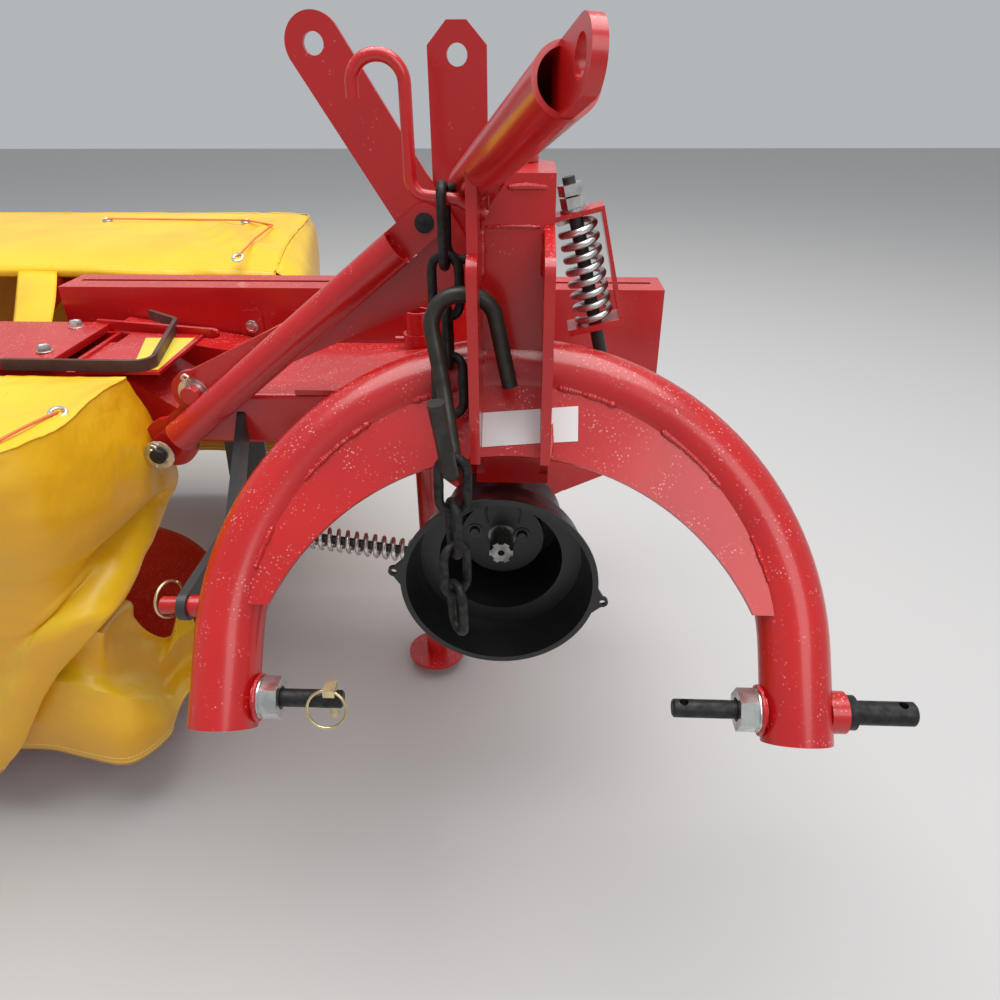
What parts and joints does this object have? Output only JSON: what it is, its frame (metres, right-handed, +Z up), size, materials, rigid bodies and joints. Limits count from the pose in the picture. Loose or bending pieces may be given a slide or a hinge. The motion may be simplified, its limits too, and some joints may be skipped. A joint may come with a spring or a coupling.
{
  "type": "drum mower",
  "caption": "Mounted drum mower with bent tube hitch arch, swing-out cutting unit, belt guard, cloth covers, stand and safety chain.",
  "frame": {"origin": "midpoint between the two legs on the common line of the lower hitch pins", "axes": "+X along the lower hitch pins away from the cutting unit, -Y forwards to the tractor, +Z up"},
  "size_m": [2.8045, 1.5735, 1.2024],
  "materials": {
    "red_paint": "gloss",
    "dark_paint": "satin",
    "zinc": "satin",
    "pin_steel": "satin",
    "chain_black": "matte",
    "rusty_steel": "matte",
    "yellow_cloth": "satin",
    "black_plastic": "matte",
    "bare_steel": "satin"
  },
  "bodies": {
    "hitch": {"hitch_arch": "red_paint", "hitch_pins": "pin_steel", "pin_nuts": "zinc", "lynch_pin": "zinc", "arch_gusset": "red_paint", "mast_channel": "red_paint", "king_pin": "red_paint", "lift_lever": "red_paint", "lever_saddle": "red_paint", "chain_hanger": "dark_paint", "safety_chain": "chain_black", "chain_hook": "chain_black", "relief_spring": "zinc", "relief_rod": "zinc", "relief_nuts": "zinc", "relief_bracket": "red_paint", "relief_lug": "red_paint", "latch_strut": "dark_paint", "strut_pin": "pin_steel"},
    "carrier": {"lift_rod": "red_paint", "swing_sleeve": "red_paint", "swing_bracket": "red_paint", "carrier_beam": "red_paint", "hinge_bolt": "pin_steel", "brace_arm": "red_paint", "arm_pin": "pin_steel", "mast_strap": "red_paint", "mast_plate": "red_paint", "knee_bolt": "pin_steel", "belt_guard": "red_paint", "guard_brackets": "red_paint", "input_housing": "red_paint", "bell_guard": "black_plastic", "bell_flange": "red_paint", "side_rod": "dark_paint", "side_spring": "zinc", "side_plates": "dark_paint", "stand_clamp": "red_paint"},
    "input": {"input_shaft": "bare_steel"},
    "stand": {"stand_leg": "red_paint"},
    "cutter": {"cutter_neck": "red_paint", "hinge_cover": "red_paint", "gear_housing": "red_paint", "housing_plate": "red_paint", "drive_case": "red_paint", "catch_bar": "rusty_steel", "guard_arms": "red_paint", "rear_frame": "red_paint", "rear_cover": "yellow_cloth"},
    "front_guard": {"front_bow": "red_paint", "front_cover": "yellow_cloth"},
    "drum_inner": {"drum_inner": "red_paint", "dish_inner": "red_paint", "knives_inner": "bare_steel"},
    "drum_outer": {"drum_outer": "red_paint", "dish_outer": "red_paint", "knives_outer": "bare_steel"},
    "skid_inner": {"skid_inner": "bare_steel"},
    "skid_outer": {"skid_outer": "bare_steel"}
  },
  "joints": [
    {"name": "swing", "type": "hinge", "parent": "hitch", "child": "carrier", "pos_m": [0, 0.35, 0.37], "axis": [0, 0, 1], "range_deg": [-90, 0]},
    {"name": "drive_turn", "type": "hinge", "parent": "carrier", "child": "input", "pos_m": [-0.016, 0.4, 0.05], "axis": [0, -1, 0], "continuous": true},
    {"name": "stand_slide", "type": "slide", "parent": "carrier", "child": "stand", "axis": [0, 0, 1], "range_m": [0, 0.24]},
    {"name": "cutter_tilt", "type": "hinge", "parent": "carrier", "child": "cutter", "pos_m": [-0.538, 0.5, 0.158], "axis": [0, 1, 0], "range_deg": [-20, 30]},
    {"name": "guard_lift", "type": "hinge", "parent": "cutter", "child": "front_guard", "pos_m": [-1.43, 0.38, 0.22505], "axis": [-1, 0, 0], "range_deg": [0, 80]},
    {"name": "drum_inner_spin", "type": "hinge", "parent": "cutter", "child": "drum_inner", "pos_m": [-1.045, 0.556, -0.1], "axis": [0, 0, 1], "continuous": true},
    {"name": "drum_outer_spin", "type": "hinge", "parent": "cutter", "child": "drum_outer", "pos_m": [-1.87, 0.556, -0.1], "axis": [0, 0, 1], "continuous": true},
    {"name": "skid_inner_spin", "type": "hinge", "parent": "drum_inner", "child": "skid_inner", "pos_m": [-1.045, 0.556, -0.35], "axis": [0, 0, 1], "continuous": true},
    {"name": "skid_outer_spin", "type": "hinge", "parent": "drum_outer", "child": "skid_outer", "pos_m": [-1.87, 0.556, -0.35], "axis": [0, 0, 1], "continuous": true}
  ],
  "couplings": [
    {"joint": "drum_outer_spin", "follows": "drum_inner_spin", "ratio": -1}
  ]
}
